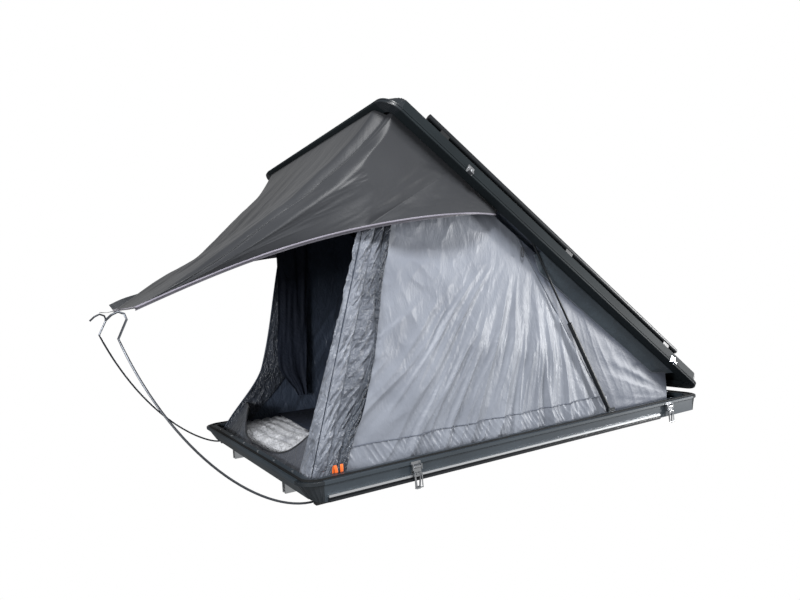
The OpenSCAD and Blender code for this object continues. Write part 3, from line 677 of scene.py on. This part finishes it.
pleat = (pleat + 0.003 * softNoise(s * 6, p[..., 2] * 26, 19)) * np.sin(math.pi * s)
p[..., 1] = cloth["y"] - rimSpec["inset"] - pleat
sheetPiece("doorRimFar", p[::-1], "base", "rim", foldDown)
path = frontLine(0.0, np.linspace(0.01, 0.985, 161), 1)
path[:, 1] = cloth["y"] - door["edgeFar"]
seamPiece("doorEdgeFar", path, door["edgeFar"], "base", "liner", foldDown)

# Sill: low across the door with a dipped edge; rise, reach and greatest height on each side of the dip
sill = {"halfY": 0.54, "foot": -0.03, "dipY": -0.02, "dipZ": -0.004, "back": 0.008, "edge": 0.0035}
sill.update({"far": (0.096, 0.297, 0.1), "near": (0.119, 0.416, 0.19), "farShift": 0.085, "split": 155})
y = np.linspace(-sill["halfY"], sill["halfY"], 221)[:, None]
s = np.linspace(0, 1, 41)[None, :]
away = np.abs(y - sill["dipY"])
farRise = sill["far"][0] * (away / sill["far"][1]) ** 6
nearRise = sill["near"][0] * (away / sill["near"][1]) ** 3
rise = np.where(y > sill["dipY"], farRise, nearRise)
limit = np.where(y > 0, sill["far"][2], sill["near"][2])
z = mix(sill["foot"], sill["dipZ"] + limit * np.tanh(rise / limit), s)
farSide = smooth(y, 0.2, 0.54) * sill["farShift"] * smooth(z, -0.05, 0.12)
x = doorX(z) + sill["back"] + farSide + 0.003 * softNoise(y * 16, z * 20, 14) * s
p = xyz(x, y, z)
cut = sill["split"]
for name, part, look in (("doorSill", p[: cut + 1], "sill"), ("doorSillFar", p[cut:], "rim")):
    sheetPiece(name, part[::-1], "base", look, foldDown)
seamPiece("sillEdge", p[2:-2, -1], sill["edge"], "base", "band", foldDown)
x = mix(shell["hemX"], doorX(sill["foot"]) + 0.01, np.linspace(0, 1, 9)[None, :])
p = xyz(x, np.linspace(-gutter["endHalfY"], gutter["endHalfY"], 81)[:, None], gutter["endZ"])
sheetPiece("gutterFront", p[::-1], "base", "sill")

# Curtain: dark, pleated and tied back against the far wall
curtain = {"z": (0.1, 0.98), "y": 0.515, "leftX": -0.664, "rightX": -0.545}
t = np.linspace(0, 1, 161)[None, :]
s = np.linspace(0, 1, 81)[:, None]
z = mix(*curtain["z"], t) + 0 * s
left = curtain["leftX"] - 0.03 * hump(z, 0.33, 0.2) + 0.075 * smooth(0.26 - z, 0, 0.17)
right = curtain["rightX"] + 0.06 * smooth(z, 0.1, 0.9)
swing = 0.012 * ridge(s * 3.2 + 0.4 * z, z * 1.5, 15) + 0.004 * softNoise(s * 9, z * 7, 16)
p = xyz(mix(left, right, s), curtain["y"] - swing, z)
sheetPiece("doorCurtain", p[::-1], "base", "cover", foldDown)

# Rear end: a low wall and its lining, with a shallow wave; shift along x, look, slot, what it replaces
endWalls = {
    "wallEnd": (0.003, "rear", "wall_cloth", ("wall_rear",)),
    "liningEnd": (-0.008, "liner", "liner_cloth", ()),
}
y = np.linspace(-cloth["y"], cloth["y"], 141)[:, None]
t = np.linspace(0, 1, 25)[None, :]
for name, (shift, look, slot, replaced) in endWalls.items():
    foot = xyz(cloth["rearFootX"] + shift, y, cloth["floor"])
    head = lidPoint(cloth["rearHeadX"] + shift, y, cloth["headZ"])
    p = mix(foot, head, t[..., None])
    p[..., 0] += 0.004 * np.sin(y * 68) * np.sin(math.pi * t)
    sheetPiece(name, facing(p, shift > 0), "base", look, foldDown, replaced=replaced)
print("stage: door and end walls")

# Awning: rooted inside the lid's hem, held out at its front corners
awning = {
    "root": (shell["hemX"], shell["hemY"], 0.007),
    "face": (-1.042, 0.001),  # where the front part comes over the lid's end
    "endX": -0.413,
    "endZ": -0.012,
    "corner": (-1.469, 0.321, 0.599),
    "flare": 0.154,
    "rise": 0.078,
    "sag": 0.065,
    "normal": (-0.62, 0.0, 0.78),
    "split": 0.36,  # share of each flank that is one piece with the front
    "under": 0.003,
    "band": (0.03, 0.004),
    "hem": (0.003, 0.011),
    "piping": 0.0035,
}


def awningPoint(side, across, t):
    # side runs 0 to 1 along a flank, across -1 to 1 along the front, t from the lid to the hem;
    # straight lines from root to hem, less the sag along the normal
    side, across, t = np.broadcast_arrays(side, across, t)
    rootX, rootY, rootZ = awning["root"]
    pinch = 0.009 * np.clip(1 - side / 0.03, 0, 1) * smooth(np.abs(across), 0.94, 1)
    over = np.clip((1 - np.abs(across)) / 0.16, 0, 1)
    frontX = mix(rootX, awning["face"][0], smooth(over, 0.15, 0.6))
    frontZ = mix(mix(rootZ, 0.0, smooth(over, 0, 0.15)), awning["face"][1], smooth(over, 0.6, 1))
    root = lidPoint(mix(frontX, awning["endX"], side) + pinch, across * (rootY - pinch), frontZ)
    cornerX, cornerY, cornerZ = awning["corner"]
    corner = xyz(cornerX, across * cornerY, cornerZ)
    hem = mix(corner, lidPoint(awning["endX"], across * rootY, awning["endZ"]), side[..., None])
    hem[..., 1] += across * awning["flare"] * np.sin(math.pi * side**2)
    hem[..., 2] += awning["rise"] * np.sin(math.pi * side) + 0.004 * np.sin(2 * math.pi * side)
    # The cloth keeps its breadth until it is past the door, and only then draws in to the hem
    a, b = root[..., 0] - doorX(root[..., 2]), hem[..., 0] - doorX(hem[..., 2])
    turn = np.where((a > 0) & (b < 0), a / np.where(a - b == 0, 1, a - b), 0.0)
    late = np.clip(t - turn, 0, None) / (1 - turn)
    p = mix(root, hem, t[..., None])
    p[..., 1] = mix(root[..., 1], hem[..., 1], late ** mix(1.0, 1.7, smooth(turn, 0, 0.1)))
    sag = awning["sag"] * np.clip(1 - 2 * side, 0, 1) ** 2 * np.sin(math.pi * t**0.8)
    return p - sag[..., None] * np.array(awning["normal"])


def gridNormals(p):
    # Cross product of the grid's two directions, at length 1
    n = np.cross(np.gradient(p, axis=0), np.gradient(p, axis=1))
    return n / np.maximum(np.linalg.norm(n, axis=-1, keepdims=True), 1e-9)


def awningFolds(run, t):
    # Broad soft folds that run from the near lid corner across the front, and finer streaks down it
    warp = run + 0.05 * softNoise(run * 5, t * 3, 31)
    streaks = 0.005 * ridge(warp * 11, t * 1.2, 32) + 0.002 * ridge(warp * 27, t * 2, 33)
    slant = t - 1.3 * (run - 0.2) + 0.06 * softNoise(run * 6, t * 4, 36)
    folds = 0.026 * softNoise(slant * 3.6, run * 2.5, 37) + 0.004 * crease(slant * 7, run * 3, 38, 0.5)
    window = np.sin(math.pi * t).clip(0, 1) ** 0.6 * smooth(run, 0, 0.12) * smooth(1 - run, 0, 0.12)
    return (folds + streaks + 0.0015 * softNoise(run * 50, t * 16, 34)) * window


t = np.linspace(0, 1, 181)[None, :]
flank = np.linspace(awning["split"], 0, 61)
side = np.concatenate([flank[:-1], np.zeros(161), flank[::-1][1:]])[:, None]
across = np.concatenate([-np.ones(60), np.linspace(-1, 1, 161), np.ones(60)])[:, None]
run = np.linspace(0, 1, len(side))[:, None]
p = awningPoint(side, across, t)
normals = gridNormals(p)
normals *= np.sign(normals[140, 90] @ np.array(awning["normal"]))
p = p + awningFolds(run, t)[..., None] * normals
p[..., 1] = np.clip(p[..., 1], -awning["root"][1], awning["root"][1])
# The underside is a darker copy of the awning cloth, just below it: painted shade
lining = (p - awning["under"] * normals)[::-1]
rests, replaced = ["lid_end_front"], ("awning",)
sheetPiece("awningFront", p, "lid", "awning", foldAwning, replaced=replaced)
sheetPiece("awningUnder", lining, "lid", "shade", foldAwning)
seamPiece("awningPiping", p[:, -1], awning["piping"], "lid", "piping", foldAwning)
# A dark band inside the far edge, square to the hem: painted shade where the far part of the awning turns
# away from the light
frontSide = np.linspace(0.0, awning["split"], 61)[:, None]
rim = awningPoint(frontSide, 1, 1.0)
along = np.gradient(rim, axis=0)
along /= np.linalg.norm(along, axis=-1, keepdims=True)
inward = awningPoint(frontSide, 1, 0.96) - rim
inward -= along * np.sum(along * inward, axis=-1, keepdims=True)
inward *= awning["band"][0] / np.linalg.norm(inward, axis=-1, keepdims=True)
p = rim + inward * np.linspace(0, 1, 9)[None, :, None] + awning["band"][1] * np.array(awning["normal"])
sheetPiece("awningBand", p, "lid", "band", foldAwning)
# Flanks that narrow to a point along the lid, with piping and a turned-down hem
for label, sign in sides.items():
    rests = [f"lid_side_{label.lower()}"]
    side = np.linspace(awning["split"], 0.995, 121)[:, None]
    p = awningPoint(side, sign, t)
    ripple = softNoise(side * 22, t * 7, 35) * np.sin(math.pi * t) * smooth(1 - side, 0, 0.2)
    ripple = ripple * smooth(side, awning["split"], 0.45)
    p[..., 1] += sign * 0.003 * ripple
    flank = facing(p, sign > 0)
    sheetPiece("awningFlank" + label, flank, "lid", "awning", foldAwningSide)
    path = p[:, -1]
    seamPiece("flankPiping" + label, path, awning["piping"], "lid", "piping", foldAwningSide)
    inset, depth = awning["hem"]
    drop = np.array([0.0, -inset * sign, -depth]) * np.linspace(0, 1, 7)[None, :, None]
    p = facing(awningPoint(frontSide, sign, 1.0) + drop, sign > 0)
    sheetPiece("hemBand" + label, p, "lid", "hem", foldAwning)
    side = np.linspace(awning["split"], 0.97, 81)[:, None]
    p = facing(awningPoint(side, sign, 1.0) + drop * smooth(1 - side, 0, 0.3)[..., None], sign > 0)
    sheetPiece("hemFlank" + label, p, "lid", "hem", foldAwningSide)
print("stage: awning")

# Webbing from the awning corners over the rod hooks
webbing = {"hook": (-1.521, 0.326, 0.597), "width": 0.022, "thick": 0.0016, "dip": 0.004}
for label, sign in sides.items():
    mirror = np.array([1, sign, 1])
    start, end = np.array(awning["corner"]) * mirror, np.array(webbing["hook"]) * mirror
    t = np.linspace(0, 1, 31)[:, None]
    path = mix(start, end, t) - np.array([0.0, 0.0, webbing["dip"]]) * np.sin(math.pi * t)
    across = np.linspace(-0.5, 0.5, 5)[None, :, None] * webbing["width"] * np.array([0.2, -0.98 * sign, 0.0])
    p = path[:, None] + across
    replaced = ("awning_strap",) if sign < 0 else ()
    rests = [f"rod_{label.lower()}"]
    strap = sheetPiece("strap" + label, p, "lid", "band", foldAwning, replaced)
    thicken(strap, webbing["thick"])
print("stage: webbing")

# Paired tags at the foot of each side wall and a zip pull under the strut head
tags = {"x": (-0.912, -0.893), "y": 0.583, "halfY": 0.006, "rise": 0.029, "sunk": 0.006, "lean": 0.004}
tags.update({"halfWidth": 0.0055, "thick": 0.0014})
zipPull = {"ahead": 0.01, "y": 0.572, "below": 0.022, "half": (0.007, 0.02), "wire": 0.0025}
for label, sign in sides.items():
    rests = [f"base_side_{label.lower()}"]
    for number, x in enumerate(tags["x"]):
        loop = np.linspace(0.15, math.pi - 0.05, 25)
        lean = tags["lean"] * (number - 0.5)
        rise = tags["rise"] * np.sin(loop) - tags["sunk"]
        path = xyz(x + lean * loop, sign * (tags["y"] + tags["halfY"] * np.cos(loop)), rise)
        across = np.linspace(-tags["halfWidth"], tags["halfWidth"], 5)[None, :, None]
        p = path[:, None] + across * np.array([1.0, 0.0, 0.0])
        replaced = ("tags",) if sign < 0 and number == 0 else ()
        name = f"tag{label}{number}"
        tag = sheetPiece(name, p, "base", "tag", foldDown, replaced)
        thicken(tag, tags["thick"])
    loop = np.linspace(0, 2 * math.pi, 41)
    pullX, pullZ = wall["focus"][0] - zipPull["ahead"], wall["focus"][1] - zipPull["below"]
    pull = np.array([pullX, sign * zipPull["y"], pullZ])
    path = pull + xyz(zipPull["half"][0] * np.sin(loop), 0 * loop, zipPull["half"][1] * np.cos(loop))
    seamPiece("zipPull" + label, path, zipPull["wire"], "base", "band", foldDown)
print("stage: tags and zip pulls")

# Camera at the solved place of the photograph, with angles in degrees
camSpec = {"place": (-1.7458, -2.3956, 0.5711), "yaw": 29.84, "pitch": -0.96, "roll": -3.90}
camSpec.update({"sensor": 36.0, "lens": 26.65, "shift": (0.0274, 0.0119), "reach": 50})
yaw, pitch, roll = (math.radians(camSpec[k]) for k in ("yaw", "pitch", "roll"))
ahead = np.array([math.cos(pitch) * math.sin(yaw), math.cos(pitch) * math.cos(yaw), math.sin(pitch)])
right = np.cross(ahead, [0, 0, 1])
right /= np.linalg.norm(right)
up = np.cross(right, ahead)
right, up = math.cos(roll) * right + math.sin(roll) * up, -math.sin(roll) * right + math.cos(roll) * up
camData = bpy.data.cameras.new("camera")
camData.sensor_width, camData.lens, camData.clip_end = camSpec["sensor"], camSpec["lens"], camSpec["reach"]
camData.shift_x, camData.shift_y = camSpec["shift"]
camObj = bpy.data.objects.new("camera", camData)
scene.collection.objects.link(camObj)
matrix = np.eye(4)
matrix[:3] = np.stack([right, up, -ahead, toRow(camSpec["place"])], axis=1)
camObj.matrix_world = Matrix(matrix.tolist())
scene.camera = camObj

# White surround for the camera, softer light for the object, stronger from the near side
surround = {"toward": (0.1, -0.95, 0.1), "from": (-0.7, 1.0), "to": (0.14, 0.5), "white": (1, 1, 1, 1)}
world = bpy.data.worlds.new("studio")
scene.world = world
world.use_nodes = True
tree = world.node_tree
plain = tree.nodes["Background"]
plain.inputs["Color"].default_value = surround["white"]
coords = addNode(tree, "ShaderNodeTexCoord").outputs["Generated"]
facingLight = {0: coords, 1: surround["toward"]}
toward = addNode(tree, "ShaderNodeVectorMath", facingLight, operation="DOT_PRODUCT").outputs["Value"]
span = {"Value": toward, "From Min": surround["from"][0], "From Max": surround["from"][1]}
span.update({"To Min": surround["to"][0], "To Max": surround["to"][1]})
level = addNode(tree, "ShaderNodeMapRange", span).outputs["Result"]
soft = addNode(tree, "ShaderNodeBackground", {"Color": surround["white"], "Strength": level})
seen = addNode(tree, "ShaderNodeLightPath").outputs["Is Camera Ray"]
shades = {0: seen, 1: soft.outputs["Background"], 2: plain.outputs["Background"]}
blend = addNode(tree, "ShaderNodeMixShader", shades)
tree.links.new(blend.outputs["Shader"], tree.nodes["World Output"].inputs["Surface"])

# Lamps: place, watts and width, all turned to one point on the tent
lampAim = (0.2, 0.0, 0.5)
lamps = {
    "key": ((-1.2, -2.8, 3.2), 165, 0.8),
    "side": ((3.6, -2.4, 0.4), 150, 0.5),
    "door": ((-3.4, -2.0, 0.8), 80, 0.8),
    "back": ((3.0, 3.4, 0.8), 150, 1.5),
}
for name, (place, power, size) in lamps.items():
    data = bpy.data.lights.new(name, "AREA")
    data.energy, data.size = power, size
    lamp = bpy.data.objects.new(name, data)
    scene.collection.objects.link(lamp)
    lamp.location = place
    aim = np.array(lampAim) - np.array(place)
    tilt = math.atan2(math.hypot(aim[0], aim[1]), -aim[2])
    lamp.rotation_euler = (tilt, 0, math.atan2(aim[1], aim[0]) - math.pi / 2)
scene.view_settings.view_transform = "Standard"
print("stage: camera and light")
